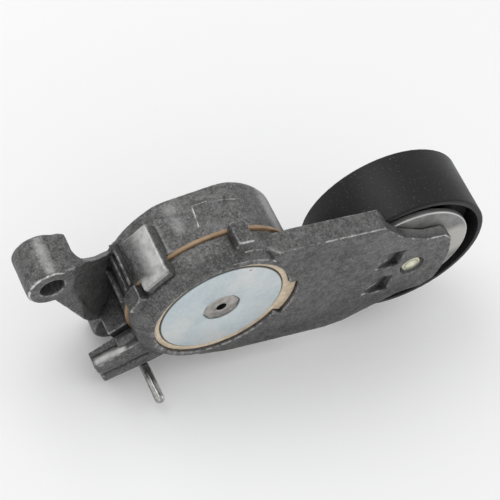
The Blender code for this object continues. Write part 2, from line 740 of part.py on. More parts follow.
def beam_lead(shop):
    """The slope that lets the beam's upper corner run down into the hub's shoulder."""
    mesh = box_mesh("beam_lead", (-2 * HUB_RADIUS, 0, 0), (0, 2 * HUB_RADIUS, HUB_RADIUS))
    place = (BEAM_START + BEAM_LEAD, 0, ARM_FACE)
    return shop.cutter("beam_lead", mesh, location=place, rotation=(0, -BEAM_LEAD_SLOPE, 0))


def axle_seat(shop):
    """The hole for the axle and the round recess that its riveted end sits in."""
    recess = cylinder_mesh(
        "axle_recess", AXLE_RECESS_RADIUS, ARM_FACE - AXLE_RECESS_DEPTH, ARM_FACE + OVERLAP
    )
    hole = cylinder_mesh("axle_hole", SHANK_RADIUS + GAP, 0, ARM_FACE + 2 * OVERLAP)
    return [
        shop.cutter("axle_recess", recess, shop.pulley),
        shop.cutter("axle_hole", hole, shop.pulley),
    ]


def stop_lug(shop):
    """The lug on the hub's rim that meets the stop block at the free end of the travel."""
    half = STOP_LUG_WIDTH / 2
    low = (STOP_LUG_CENTRE - half, HUB_RADIUS - HUB_WALL / 2, HOUSING_HEIGHT + GAP)
    high = (STOP_LUG_CENTRE + half, STOP_LUG_RADIUS, STOP_LUG_TOP)
    lug = shop.cutter("stop_lug", box_mesh("stop_lug", low, high, 0.4 * MM))
    relief = cylinder_mesh("lug_relief", WASHER_RADIUS + GAP, 0, ARM_FOOT, 64)
    cut(lug, shop.cutter("lug_relief", relief))
    return lug


def fork(shop):
    """The ear on the hub's rim that meets the stop block at the loaded end of the travel."""
    mesh = sector_mesh(
        "fork", HUB_RADIUS - HUB_WALL / 2, FORK_RADIUS, FORK_START, FORK_END, ARM_FOOT, FORK_TOP
    )
    return shop.cutter("fork", mesh)


def spanner_points():
    """The spanner lug's outline in the tensioner's plan."""
    points = []
    along = Vector(polar(1, SPANNER_ANGLE))
    across = Vector((-along.y, along.x))
    for reach, side in SPANNER_OUTLINE:
        points.append(along * (HUB_RADIUS + reach * MM) + across * side * MM)
    return points


def spanner_lug(shop):
    mesh = plate_mesh("spanner_lug", spanner_points(), ARM_FOOT, SPANNER_TOP)
    lug = shop.cutter("spanner_lug", mesh)
    bore = cylinder_mesh(
        "spanner_bore", HUB_RADIUS - HUB_WALL / 2, ARM_FOOT - OVERLAP, ARM_FACE, 64
    )
    cut(lug, shop.cutter("spanner_bore", bore), spanner_groove(shop))
    return lug


def spanner_bead(shop):
    """A half-round bead along the lug's upper side, near its root."""
    start, end = spanner_points()[1:3]
    slope = math.atan2(end.y - start.y, end.x - start.x)
    mesh = cylinder_mesh(
        "spanner_bead", SPANNER_BEAD_RADIUS, 0, SPANNER_BEAD_LENGTH, 20, 0.5 * MM
    )
    place = (*start, SPANNER_TOP - 2 * SPANNER_BEAD_RADIUS)
    return shop.cutter("spanner_bead", mesh, location=place, rotation=(0, math.pi / 2, slope))


def spanner_groove(shop):
    """The groove along the lug's front face, above its lower edge."""
    end, start = spanner_points()[3:5]
    slope = math.atan2(end.y - start.y, end.x - start.x)
    half = SPANNER_GROOVE_WIDTH / 2
    low = (0, -SPANNER_GROOVE_INSET - half, SPANNER_TOP - SPANNER_GROOVE_DEPTH)
    length = (end - start).length + 2 * OVERLAP
    high = (length, half - SPANNER_GROOVE_INSET, SPANNER_TOP + OVERLAP)
    mesh = box_mesh("spanner_groove", low, high)
    return shop.cutter("spanner_groove", mesh, location=(*start, 0), rotation=(0, 0, slope))


def pin_ear(shop):
    """The ear under the spanner lug that carries the locking pin."""
    radius = PIN_RADIUS + GAP + PIN_EAR_WALL
    foot = ARM_FOOT + GAP
    mesh = cylinder_mesh("pin_ear", radius, foot, foot + PIN_EAR_THICKNESS, 24)
    return shop.cutter("pin_ear", mesh, location=(*PIN_CENTRE, 0))


def front_pockets(shop):
    """Two ramped pockets beside the axle, deepest at their outer ends."""
    pockets = []
    lean = math.atan2(POCKET_DEPTH, POCKET_LENGTH)
    for number, (end_x, middle_y) in enumerate(POCKET_ENDS, 1):
        low = (-1.2 * POCKET_LENGTH, -POCKET_HEIGHT / 2, 0)
        high = (0, POCKET_HEIGHT / 2, 2 * POCKET_DEPTH)
        mesh = box_mesh(f"pocket_{number}", low, high)
        place = (end_x, middle_y, ARM_FACE - POCKET_DEPTH)
        name = f"pocket_{number}"
        pockets.append(shop.cutter(name, mesh, location=place, rotation=(0, lean, 0)))
    return pockets


def dust_shield(shop):
    """A pressed disc with a turned-back rim, between the arm's end and the pulley."""
    rim_foot = SHIELD_TOP - SHIELD_RIM_DEPTH
    profile = [
        (SHIELD_RADIUS - GAP, SHIELD_TOP),
        (SHIELD_RADIUS, SHIELD_TOP - GAP),
        (SHIELD_RADIUS, rim_foot),
        (SHIELD_RADIUS - SHIELD_THICKNESS, rim_foot),
        (SHIELD_RADIUS - SHIELD_THICKNESS, SHIELD_FOOT),
        (SHANK_RADIUS + GAP, SHIELD_FOOT),
        (SHANK_RADIUS + GAP, SHIELD_TOP),
    ]
    shop.add("dust_shield", turned_mesh("dust_shield", profile, 56), ALUMINIUM, shop.pulley)


def pulley_axle(shop):
    """The riveted axle bolt: hexagon and flange at the rear, stepped shank to the front."""
    shoulder = BEARING_BORE_RADIUS - GAP
    flange_top = BEARING_REAR - GAP
    flange_foot = flange_top - AXLE_FLANGE_THICKNESS
    end = ARM_FACE - AXLE_END_DEPTH
    profile = [
        (0, end),
        (SHANK_RADIUS - 2 * GAP, end),
        (SHANK_RADIUS, end - GAP),
        (SHANK_RADIUS, BEARING_FRONT),
        (shoulder, BEARING_FRONT),
        (shoulder, flange_top),
        (INNER_RING_RADIUS, flange_top),
        (INNER_RING_RADIUS, flange_foot),
        (0, flange_foot),
    ]
    mesh = turned_mesh("pulley_axle", profile, 36)
    axle = shop.add("pulley_axle", mesh, YELLOW_ZINC, shop.pulley)
    head_foot = flange_foot - AXLE_HEX_HEIGHT
    head = prism_mesh("axle_hex", AXLE_HEX_FLATS, head_foot, flange_foot + OVERLAP, 6)
    join(axle, shop.cutter("axle_hex", head, shop.pulley))


def axle_spacer(shop):
    profile = [
        (SPACER_RADIUS, SHIELD_FOOT - GAP),
        (SPACER_RADIUS, BEARING_FRONT + GAP),
        (SHANK_RADIUS + GAP, BEARING_FRONT + GAP),
        (SHANK_RADIUS + GAP, SHIELD_FOOT - GAP),
    ]
    shop.add("axle_spacer", turned_mesh("axle_spacer", profile, 36), STEEL, shop.pulley)


def race_points(ring_radius, facing):
    """The groove of one ring, read upwards. facing is 1 for the inner ring, -1 for the outer."""
    groove = BALL_RADIUS + GAP
    reach = math.acos((BALL_CIRCLE - ring_radius) * facing / groove)
    points = []
    for index in range(7):
        angle = reach * (index / 3 - 1)
        radius = BALL_CIRCLE - facing * groove * math.cos(angle)
        points.append((radius, BEARING_MIDDLE + groove * math.sin(angle)))
    return points


def bearing_rings(shop):
    """The inner ring on the axle and the outer ring in the pulley."""
    outer_face = BEARING_RADIUS - GAP
    inner = [(INNER_RING_RADIUS, BEARING_FRONT)]
    inner += race_points(INNER_RING_RADIUS, 1)[::-1]
    inner += [(INNER_RING_RADIUS, BEARING_REAR), (BEARING_BORE_RADIUS, BEARING_REAR)]
    inner += [(BEARING_BORE_RADIUS, BEARING_FRONT)]
    outer = [(outer_face, BEARING_FRONT), (outer_face, BEARING_REAR)]
    outer += [(OUTER_RING_BORE, BEARING_REAR)]
    outer += race_points(OUTER_RING_BORE, -1)
    outer += [(OUTER_RING_BORE, BEARING_FRONT)]
    for name, profile in (("bearing_inner_ring", inner), ("bearing_outer_ring", outer)):
        shop.add(name, turned_mesh(name, profile, 36), STEEL, shop.pulley)


def bearing_seals(shop):
    outer = OUTER_RING_BORE - GAP
    inner = INNER_RING_RADIUS + GAP
    front_foot = BEARING_FRONT - SEAL_INSET - SEAL_THICKNESS
    for name, foot in (
        ("bearing_seal_front", front_foot),
        ("bearing_seal_rear", BEARING_REAR + SEAL_INSET),
    ):
        top = foot + SEAL_THICKNESS
        profile = [(outer, top), (outer, foot), (inner, foot), (inner, top)]
        shop.add(name, turned_mesh(name, profile, 40), SEAL_RUBBER, shop.pulley)


def bearing_cage(shop):
    """A ring with a pocket for each ball."""
    half = BEARING_WIDTH / 2 - SEAL_INSET - SEAL_THICKNESS - GAP
    top = BEARING_MIDDLE + half
    foot = BEARING_MIDDLE - half
    outer = BALL_CIRCLE + CAGE_THICKNESS / 2
    inner = BALL_CIRCLE - CAGE_THICKNESS / 2
    profile = [(outer, top), (outer, foot), (inner, foot), (inner, top)]
    cage = shop.add("bearing_cage", turned_mesh("bearing_cage", profile, 40), POLYMER, shop.pulley)
    for number in range(1, BALL_COUNT + 1):
        angle = ball_angle(number)
        mesh = cylinder_mesh(f"ball_pocket_{number}", BALL_RADIUS + GAP, 0, BEARING_RADIUS, 16)
        place = (0, 0, BEARING_MIDDLE)
        turn = (0, math.pi / 2, angle)
        pocket = shop.cutter(f"ball_pocket_{number}", mesh, shop.pulley, place, turn)
        cut(cage, pocket)


def ball_angle(number):
    return 2 * math.pi * (number - 1) / BALL_COUNT


def bearing_balls(shop):
    mesh = bpy.data.meshes.new("bearing_ball")
    shape = bmesh.new()
    bmesh.ops.create_uvsphere(shape, u_segments=12, v_segments=8, radius=BALL_RADIUS)
    shape.to_mesh(mesh)
    shape.free()
    mesh.shade_smooth()
    for number in range(1, BALL_COUNT + 1):
        place = (*polar(BALL_CIRCLE, ball_angle(number)), BEARING_MIDDLE)
        shop.add(f"bearing_ball_{number}", mesh, STEEL, shop.pulley, place)


def pulley_rim(shop):
    """The moulded pulley: smooth running surface, thin wall, ribbed web and bearing seat."""
    inner = PULLEY_RADIUS - PULLEY_WALL
    seat = BEARING_RADIUS + PULLEY_SEAT_WALL
    web_top = BEARING_MIDDLE + PULLEY_WEB / 2
    web_foot = BEARING_MIDDLE - PULLEY_WEB / 2
    edge = 0.6 * MM
    profile = [
        (PULLEY_RADIUS - edge, PULLEY_FRONT),
        (PULLEY_RADIUS, PULLEY_FRONT - edge),
        (PULLEY_RADIUS, PULLEY_REAR + edge),
        (PULLEY_RADIUS - edge, PULLEY_REAR),
        (inner, PULLEY_REAR),
        (inner, web_foot),
        (seat, web_foot),
        (seat, BEARING_REAR),
        (BEARING_RADIUS, BEARING_REAR),
        (BEARING_RADIUS, BEARING_FRONT),
        (seat, BEARING_FRONT),
        (seat, web_top),
        (inner, web_top),
        (inner, PULLEY_FRONT),
    ]
    rim = shop.add("pulley_rim", turned_mesh("pulley_rim", profile, 56), BLACK_PLASTIC, shop.pulley)
    half = PULLEY_RIB_THICKNESS / 2
    for number in range(1, PULLEY_RIB_COUNT + 1):
        low = (seat - PULLEY_SEAT_WALL / 2, -half, BEARING_REAR)
        high = (inner + PULLEY_WALL / 2, half, BEARING_MIDDLE)
        mesh = box_mesh(f"pulley_rib_{number}", low, high)
        turn = (0, 0, 2 * math.pi * number / PULLEY_RIB_COUNT)
        join(rim, shop.cutter(f"pulley_rib_{number}", mesh, shop.pulley, rotation=turn))


def locking_pin(shop):
    """The pin that is pulled out once the belt is fitted."""
    profile = [
        (0, PIN_TIP),
        (PIN_RADIUS - PIN_EDGE, PIN_TIP - GAP),
        (PIN_RADIUS - GAP, PIN_TIP - PIN_EDGE),
        (PIN_RADIUS, PIN_TIP - 2 * PIN_EDGE),
        (PIN_RADIUS, PIN_FOOT),
        (0, PIN_FOOT),
    ]
    mesh = turned_mesh("locking_pin", profile, 24)
    shop.add("locking_pin", mesh, STEEL, location=(*PIN_CENTRE, 0))


def build():
    clear_scene()
    shop = Shop()
    base_housing(shop)
    pivot_shaft(shop)
    cover_disc(shop)
    friction_washer(shop)
    torsion_spring(shop)
    damper_sleeve(shop)
    tension_arm(shop)
    front_bush(shop)
    rear_bush(shop)
    dust_shield(shop)
    pulley_axle(shop)
    axle_spacer(shop)
    bearing_rings(shop)
    bearing_seals(shop)
    bearing_cage(shop)
    bearing_balls(shop)
    pulley_rim(shop)
    locking_pin(shop)


build()
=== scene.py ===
"""Belt tensioner idler: the looks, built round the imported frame."""

import math

import bmesh
import bpy
import numpy as np
from mathutils import Matrix, Vector


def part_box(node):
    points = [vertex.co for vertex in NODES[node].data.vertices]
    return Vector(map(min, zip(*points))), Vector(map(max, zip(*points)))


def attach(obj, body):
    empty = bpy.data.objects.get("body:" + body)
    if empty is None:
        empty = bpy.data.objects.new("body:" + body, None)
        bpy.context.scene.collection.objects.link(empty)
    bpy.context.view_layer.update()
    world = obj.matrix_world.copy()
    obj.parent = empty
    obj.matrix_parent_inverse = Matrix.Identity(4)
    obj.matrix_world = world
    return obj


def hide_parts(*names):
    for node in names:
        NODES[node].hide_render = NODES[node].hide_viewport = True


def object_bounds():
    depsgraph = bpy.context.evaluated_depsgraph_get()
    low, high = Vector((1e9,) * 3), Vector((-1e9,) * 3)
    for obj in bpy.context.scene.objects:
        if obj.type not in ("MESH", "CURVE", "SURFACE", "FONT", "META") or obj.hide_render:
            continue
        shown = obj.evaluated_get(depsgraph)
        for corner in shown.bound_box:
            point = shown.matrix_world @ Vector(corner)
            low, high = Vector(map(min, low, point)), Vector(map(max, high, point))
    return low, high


MM = 0.001

# The photograph's view, in the row frame, in metres and in directions
CAMERA_PLACE = (-0.3329, -0.3866, 0.6268)
CAMERA_RIGHT = (0.8784, -0.4043, 0.2547)
CAMERA_UP = (0.1948, 0.7897, 0.5818)
CAMERA_BACK = (-0.4363, -0.4615, 0.7724)
CAMERA_LENS = 158.8

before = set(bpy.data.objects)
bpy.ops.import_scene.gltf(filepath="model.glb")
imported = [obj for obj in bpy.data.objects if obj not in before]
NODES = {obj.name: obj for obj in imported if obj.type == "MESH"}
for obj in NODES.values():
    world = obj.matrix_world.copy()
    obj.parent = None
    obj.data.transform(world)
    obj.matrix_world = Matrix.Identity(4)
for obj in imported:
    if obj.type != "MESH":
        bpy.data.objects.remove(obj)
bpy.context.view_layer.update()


def middle_x(node):
    """Where a CAD node's middle lies along the arm."""
    low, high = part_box(node)
    return (low[0] + high[0]) / 2


# Sizes below are in mm. A place is (x, z, depth): x and z in the arm's plan from the pivot,
# and depth in front of the rear mounting face.
ARM_LENGTH = middle_x("pulley_rim") / MM
CUP_RADIUS = 32.5
EAR_CENTRE = (-62.4, 11.9)
EAR_RADIUS = 9.2
EAR_FACE = 17.2
BLOCK_ANGLE = 144.0
BLOCK_REACH = 37.6
ARM_FACE = 34.2
END_LEDGE = 29.4
LUG_FACE = 30.2
DISC_RIM = 23.7
SHIELD_RIM = 25.3
BEHIND = 1.0

# A place just in front of the web's face beside the ear, and how fast the face falls in x and z
WEB_START = (-56.9, 21.1, 17.6)
WEB_LEAN = (0.632, 0.213)

# Directions that faces look in
FORWARD = (0, -1, 0)
UPWARD = (0, 0, 1)
LUG_SIDE = (-0.63, 0, 0.78)

# The castings' skin, with the rounds of smoothing that suit the fine voxel
FINE_VOXEL = 0.30
FINE_ROUNDS = 8
VOXEL = FINE_VOXEL
FULL_RIDGE = 0.26
FULL_HOLLOW = 0.22
RIDGE_WEAR_AND_HIGHLIGHT = 0.68
# (height, cell size, seed) of each layer of unevenness
UNEVEN = ((0.050, 5.0, 3), (0.028, 1.6, 5), (0.016, 0.7, 7))


# ---------------------------------------------------------------- shader helpers

class Shader:
    """A node material that is written as nested calls."""

    def __init__(self, name, metallic=0.0, roughness=0.5, **sockets):
        self.material = bpy.data.materials.new(name)
        self.material.use_nodes = True
        self.tree = self.material.node_tree
        self.surface = self.tree.nodes["Principled BSDF"]
        self.surface.inputs["Metallic"].default_value = metallic
        self.surface.inputs["Roughness"].default_value = roughness
        for socket, value in sockets.items():
            self.surface.inputs[socket.replace("_", " ")].default_value = value
        self.place = self.add("TexCoord").outputs["Object"]

    def add(self, kind, **settings):
        node = self.tree.nodes.new("ShaderNode" + kind)
        for key, value in settings.items():
            setattr(node, key, value)
        return node

    def put(self, value, socket):
        if isinstance(value, bpy.types.NodeSocket):
            self.tree.links.new(value, socket)
        else:
            socket.default_value = value

    def noise(self, scale, detail=4.0, rough=0.5, distortion=0.0, place=None):
        node = self.add("TexNoise")
        self.put(place or self.place, node.inputs["Vector"])
        node.inputs["Scale"].default_value = scale
        node.inputs["Detail"].default_value = detail
        node.inputs["Roughness"].default_value = rough
        node.inputs["Distortion"].default_value = distortion
        return node.outputs["Fac"]

    def cells(self, scale):
        node = self.add("TexVoronoi")
        self.put(self.place, node.inputs["Vector"])
        node.inputs["Scale"].default_value = scale
        return node.outputs["Distance"]

    def stretch(self, scale, move=(0, 0, 0)):
        """Object coordinates, scaled and then moved."""
        node = self.add("Mapping")
        self.put(self.place, node.inputs["Vector"])
        node.inputs["Location"].default_value = move
        node.inputs["Scale"].default_value = scale
        return node.outputs["Vector"]

    def span(self, value, low, high, to_low=0.0, to_high=1.0):
        """The value carried from one range to another, and held at the ends."""
        node = self.add("MapRange", clamp=True)
        self.put(value, node.inputs["Value"])
        node.inputs["From Min"].default_value = low
        node.inputs["From Max"].default_value = high
        node.inputs["To Min"].default_value = to_low
        node.inputs["To Max"].default_value = to_high
        return node.outputs["Result"]

    def reckon(self, operation, a, b):
        node = self.add("Math", operation=operation)
        self.put(a, node.inputs[0])
        self.put(b, node.inputs[1])
        return node.outputs[0]

    def sum(self, a, b):
        return self.reckon("ADD", a, b)

    def less(self, a, b):
        return self.reckon("SUBTRACT", a, b)

    def times(self, a, b):
        return self.reckon("MULTIPLY", a, b)

    def most(self, a, b):
        return self.reckon("MAXIMUM", a, b)

    def mix(self, share, a, b):
        node = self.add("Mix", data_type="RGBA", blend_type="MIX")
        self.put(share, node.inputs["Factor"])
        for value, socket in ((a, node.inputs[6]), (b, node.inputs[7])):
            self.put((*value, 1.0) if isinstance(value, tuple) else value, socket)
        return node.outputs[2]

    def attribute(self, name):
        node = self.add("Attribute", attribute_name=name)
        return node.outputs["Fac"]

    def near(self, place, radius):
        """1 at a place and 0 from radius away, in mm."""
        node = self.add("VectorMath", operation="DISTANCE")
        self.put(self.place, node.inputs[0])
        node.inputs[1].default_value = plan(*place)
        return self.span(node.outputs["Value"], 0.0, radius * MM, 1.0, 0.0)

    def past(self, low, high, axis_x=0.0):
        """Rises from 0 to 1 between two radii in mm, round the pivot or an axis along the arm."""
        node = self.add("VectorMath", operation="LENGTH")
        self.put(self.stretch((1.0, 0.0, 1.0), move=(-axis_x * MM, 0.0, 0.0)), node.inputs[0])
        return self.span(node.outputs["Value"], low * MM, high * MM)

    def within(self, low, high, axis_x=0.0):
        """Falls from 1 to 0 between two radii in mm."""
        return self.less(1.0, self.past(low, high, axis_x))

    def bump(self, height, distance, strength=1.0):
        node = self.add("Bump")
        self.put(height, node.inputs["Height"])
        node.inputs["Distance"].default_value = distance * MM
        node.inputs["Strength"].default_value = strength
        return node.outputs["Normal"]

    def out(self, **sockets):
        for socket, value in sockets.items():
            self.put(value, self.surface.inputs[socket.replace("_", " ")])
        return self.material


def cast_aluminium(name):
    """Sand-grey die casting: speckled, with painted shade in its corners and sunk lines, and edges
    bright from abrasion and a painted highlight.
    """
    s = Shader(name, metallic=0.55)
    cloud = s.span(s.noise(70, 5, 0.6, 0.4), 0.34, 0.68)
    blotch = s.span(s.noise(330, 5, 0.75), 0.42, 0.62)
    speck = s.span(s.noise(1050, 4, 0.85), 0.49, 0.61)
    dark = (0.026, 0.026, 0.026)
    light = (0.340, 0.338, 0.338)
    colour = s.mix(cloud, (0.052, 0.051, 0.050), (0.100, 0.099, 0.098))
    colour = s.mix(s.times(blotch, 0.22), colour, light)
    colour = s.mix(s.times(speck, 0.40), colour, light)
    pits = s.span(s.cells(650), 0.06, 0.34, 1.0, 0.0)
    colour = s.mix(s.times(pits, 0.75), colour, dark)
    # Painted shade: creases and the darker marks from the skin, mixed nearly to black.
    shade_layer = s.attribute("crease_shade_and_dark_marks")
    colour = s.mix(s.times(shade_layer, 0.85), colour, (0.022, 0.020, 0.019))
    # Painted highlight: ridges and edges, bright partly from abrasion, and lit faces, some of them
    # truly polished, mixed nearly to white.
    edge_patchiness = s.span(s.noise(420, 4, 0.7), 0.35, 0.62, 0.40, 1.1)
    worn_and_highlit = s.span(s.times(s.attribute("edge"), edge_patchiness), 0.40, 1.25)
    rubbed = s.span(s.noise(300, 4, 0.6), 0.25, 0.6, 0.5, 1.0)
    polish_and_highlight = s.times(s.attribute("polish_and_highlight"), rubbed)
    bright = s.most(worn_and_highlit, polish_and_highlight)
    colour = s.mix(bright, colour, (0.70, 0.695, 0.69))
    rough = s.less(s.span(blotch, 0, 1, 0.52, 0.42), s.span(bright, 0, 1, 0.0, 0.18))
    grain = s.sum(s.noise(1500, 4, 0.65), s.times(s.noise(380, 4, 0.6), 1.2))
    height = s.times(grain, s.span(bright, 0, 1, 1.0, 0.25))
    return s.out(Base_Color=colour, Roughness=rough, Normal=s.bump(height, 0.20))


def zinc_plate(name):
    """Bluish zinc plate with pale clouds, fine scratches, a few dark nicks and a ring of painted shade
    at its rim.
    """
    s = Shader(name, metallic=0.55)
    cloud = s.span(s.noise(48, 4, 0.6, 0.8), 0.32, 0.68)
    fine = s.span(s.noise(800, 4, 0.65), 0.35, 0.7)
    colour = s.mix(cloud, (0.47, 0.565, 0.605), (0.66, 0.69, 0.69))
    warm = s.span(s.noise(70, 3, 0.6), 0.52, 0.75, 0.0, 0.5)
    colour = s.mix(warm, colour, (0.72, 0.685, 0.65))
    colour = s.mix(s.times(fine, 0.35), colour, (0.82, 0.85, 0.86))
    spots = s.span(s.cells(75), 0.0, 0.030, 0.8, 0.0)
    nick = s.near((5.8, 21.2, 33.0), 0.7)
    # Painted shade: a thin dark ring at the rim, where the disc meets the beige ring.
    rim = s.times(s.past(DISC_RIM - 0.35, DISC_RIM), 0.8)
    well = s.times(s.within(6.6, 7.4), 0.85)
    mark = s.most(s.most(spots, nick), s.most(rim, well))
    colour = s.mix(mark, colour, (0.055, 0.055, 0.055))
    rough = s.span(fine, 0, 1, 0.40, 0.52)
    return s.out(Base_Color=colour, Roughness=rough, Normal=s.bump(fine, 0.03, 0.4))


def beige_polymer(name, tone):
    """Unfilled bearing polymer, stained where it is rubbed, in a tone that scales its colours."""

    def toned(*colour):
        return tuple(min(t * c, 0.95) for t, c in zip(tone, colour))

    s = Shader(name)
    cloud = s.span(s.noise(140, 4, 0.6), 0.3, 0.7)
    colour = s.mix(cloud, toned(0.40, 0.32, 0.22), toned(0.56, 0.47, 0.35))
    stain = s.span(s.noise(260, 4, 0.7), 0.50, 0.75)
    colour = s.mix(s.times(stain, 0.6), colour, toned(0.20, 0.14, 0.09))
    pale = s.span(s.noise(420, 4, 0.7), 0.58, 0.72)
    colour = s.mix(s.times(pale, 0.5), colour, toned(0.72, 0.67, 0.58))
    return s.out(
        Base_Color=colour, Roughness=s.span(cloud, 0, 1, 0.42, 0.55),
        Normal=s.bump(s.noise(900, 3, 0.6), 0.04, 0.4),
    )


def black_plastic(name):
    """Black moulding with a faint cloudiness and specks of dust."""
    s = Shader(name, Specular_IOR_Level=0.28)
    cloud = s.span(s.noise(60, 5, 0.65), 0.3, 0.72)
    fine = s.span(s.noise(900, 4, 0.7), 0.35, 0.75)
    colour = s.mix(cloud, (0.0055, 0.0055, 0.006), (0.013, 0.013, 0.014))
    dust = s.span(s.noise(1300, 2, 0.6), 0.64, 0.72)
    colour = s.mix(s.times(dust, 0.5), colour, (0.13, 0.13, 0.13))
    rough = s.sum(s.span(cloud, 0, 1, 0.36, 0.50), s.span(fine, 0, 1, 0.0, 0.06))
    return s.out(Base_Color=colour, Roughness=rough, Normal=s.bump(fine, 0.03, 0.35))


def metal(name, dark, light, rough, scale=250.0, streaks=None):
    """Worked metal with a fine grain, and streaks along one direction if asked."""
    s = Shader(name, metallic=1.0)
    grain = s.span(s.noise(scale, 4, 0.65), 0.32, 0.7)
    if streaks:
        lines = s.span(s.noise(180, 3, 0.5, place=s.stretch(streaks)), 0.35, 0.65)
        grain = s.sum(s.times(grain, 0.4), s.times(lines, 0.6))
    colour = s.mix(grain, dark, light)
    return s.out(
        Base_Color=colour, Roughness=s.span(grain, 0, 1, *rough),
        Normal=s.bump(grain, 0.02, 0.4),
    )


def shield_sheet(name):
    """Dull pressed sheet with a painted highlight along its rim and painted light on a paler area to
    one side.
    """
    s = Shader(name, metallic=0.7)
    grain = s.span(s.noise(180, 4, 0.65), 0.32, 0.7)
    colour = s.mix(grain, (0.15, 0.15, 0.148), (0.30, 0.30, 0.295))
    # Painted light: a paler area where light falls on the sheet.
    lit_patch = s.near((99.0, 3.5, 29.0), 12.5)
    colour = s.mix(s.times(s.span(lit_patch, 0.15, 0.45), 0.9), colour, (0.50, 0.485, 0.45))
    # Painted highlight along the rim.
    rim = s.past(SHIELD_RIM - 0.4, SHIELD_RIM, ARM_LENGTH)
    colour = s.mix(s.times(rim, 0.85), colour, (0.72, 0.72, 0.71))
    speck = s.span(s.noise(1300, 3, 0.7), 0.5, 0.7)
    colour = s.mix(s.times(speck, 0.35), colour, (0.40, 0.40, 0.40))
    return s.out(
        Base_Color=colour, Roughness=s.span(grain, 0, 1, 0.34, 0.48),
        Normal=s.bump(s.noise(500, 4, 0.6), 0.05, 0.5),
    )


def yellow_plate(name):
    """Pale yellow zinc, flattened and bright at the riveted end with a painted highlight, and a ring
    of painted shade in the groove round it.
    """
    s = Shader(name, metallic=0.6)
    grain = s.span(s.noise(600, 4, 0.65), 0.35, 0.68)
    colour = s.mix(grain, (0.50, 0.50, 0.35), (0.88, 0.88, 0.69))
    # Flattened bright metal at the end, with a painted highlight.
    struck_and_highlit = s.times(s.within(0.0, 1.8, ARM_LENGTH), 0.8)
    colour = s.mix(struck_and_highlit, colour, (0.96, 0.96, 0.86))
    # Painted shade in the groove round the end.
    groove = s.times(s.past(2.1, 2.6, ARM_LENGTH), s.within(2.8, 3.3, ARM_LENGTH))
    colour = s.mix(s.times(groove, 0.6), colour, (0.22, 0.22, 0.15))
    return s.out(
        Base_Color=colour, Roughness=s.span(grain, 0, 1, 0.32, 0.45),
        Normal=s.bump(s.noise(700, 4, 0.6), 0.08, 0.6),
    )


# ---------------------------------------------------------------- mesh helpers

def plan(x, z, depth):
    """The point at a place given in the arm's plan."""
    return Vector((x * MM, -depth * MM, z * MM))


def link(name, mesh):
    """A new object in the scene."""
    piece = bpy.data.objects.new(name, mesh)
    bpy.context.scene.collection.objects.link(piece)
    return piece


def evaluated(piece):
    """Replaces the piece's mesh by what its modifiers make of it."""
    graph = bpy.context.evaluated_depsgraph_get()
    mesh = bpy.data.meshes.new_from_object(piece.evaluated_get(graph))
    piece.modifiers.clear()
    piece.data = mesh
    return mesh


def prism(outline, foot, top):
    """A closed prism from a plan outline in mm, between two depths."""
    shape = bmesh.new()
    low = [shape.verts.new(plan(x, z, foot)) for x, z in outline]
    high = [shape.verts.new(plan(x, z, top)) for x, z in outline]
    shape.faces.new(low)
    shape.faces.new(high[::-1])
    for i in range(len(outline)):
        j = (i + 1) % len(outline)
        shape.faces.new((low[i], high[i], high[j], low[j]))
    bmesh.ops.recalc_face_normals(shape, faces=shape.faces)
    if shape.calc_volume(signed=True) < 0:
        bmesh.ops.reverse_faces(shape, faces=shape.faces)
    mesh = bpy.data.meshes.new("tool")
    shape.to_mesh(mesh)
    shape.free()
    return mesh


def cut(piece, mesh):
    """Takes a closed mesh away from the piece."""
    tool = link("tool", mesh)
    modifier = piece.modifiers.new("cut", "BOOLEAN")
    modifier.operation = "DIFFERENCE"
    modifier.solver = "MANIFOLD"
    modifier.object = tool
    evaluated(piece)
    bpy.data.objects.remove(tool)


def coordinates(mesh):
    points = np.empty(len(mesh.vertices) * 3)
    mesh.vertices.foreach_get("co", points)
    return points.reshape(-1, 3)


def set_coordinates(mesh, points):
    mesh.vertices.foreach_set("co", points.ravel())
    mesh.update()


def smoothed(mesh, points, rounds):
    """Each point moved halfway to the mean of its neighbours, as many times as asked."""
    edges = np.empty(len(mesh.edges) * 2, dtype=np.int64)
    mesh.edges.foreach_get("vertices", edges)
    a, b = edges[0::2], edges[1::2]
    count = np.bincount(edges, minlength=len(points))[:, None].clip(1)
    for _ in range(rounds):
        total = np.zeros_like(points)
        np.add.at(total, a, points[b])
        np.add.at(total, b, points[a])
        points = (points + total / count) / 2
    return points


def normals(mesh):
    found = np.empty(len(mesh.vertices) * 3)
    mesh.vertices.foreach_get("normal", found)
    return found.reshape(-1, 3)


def store(mesh, name, values):
    """Keeps one value per point for the material to read."""
    layer = mesh.attributes.new(name, "FLOAT", "POINT")
    layer.data.foreach_set("value", values.astype(np.float32))


def value_noise(points, size, seed):
    """Smooth noise from -1 to 1 with the given cell size, the same on every run."""
    random = np.random.default_rng(seed)
    table = random.uniform(-1, 1, (32, 32, 32))
    place = points / size + 1000.0
    cell = np.floor(place).astype(int)
    part = place - cell
    part = part * part * (3 - 2 * part)
    result = np.zeros(len(points))
    for dx in (0, 1):
        for dy in (0, 1):
            for dz in (0, 1):
                weight = (
                    (part[:, 0] if dx else 1 - part[:, 0])
                    * (part[:, 1] if dy else 1 - part[:, 1])
                    * (part[:, 2] if dz else 1 - part[:, 2])
                )
                at = (cell + (dx, dy, dz)) % 32
                result += weight * table[at[:, 0], at[:, 1], at[:, 2]]
    return result


def away_from(points, line):
    """How far each point is from a line of joined points."""
    best = np.full(len(points), np.inf)
    for start, end in zip(line, line[1:]):
        start = np.array(start)
        along = np.array(end) - start
        share = ((points - start) @ along / max(along @ along, 1e-18)).clip(0, 1)
        gap = np.linalg.norm(points - start - share[:, None] * along, axis=1)
        best = np.minimum(best, gap)
    return best


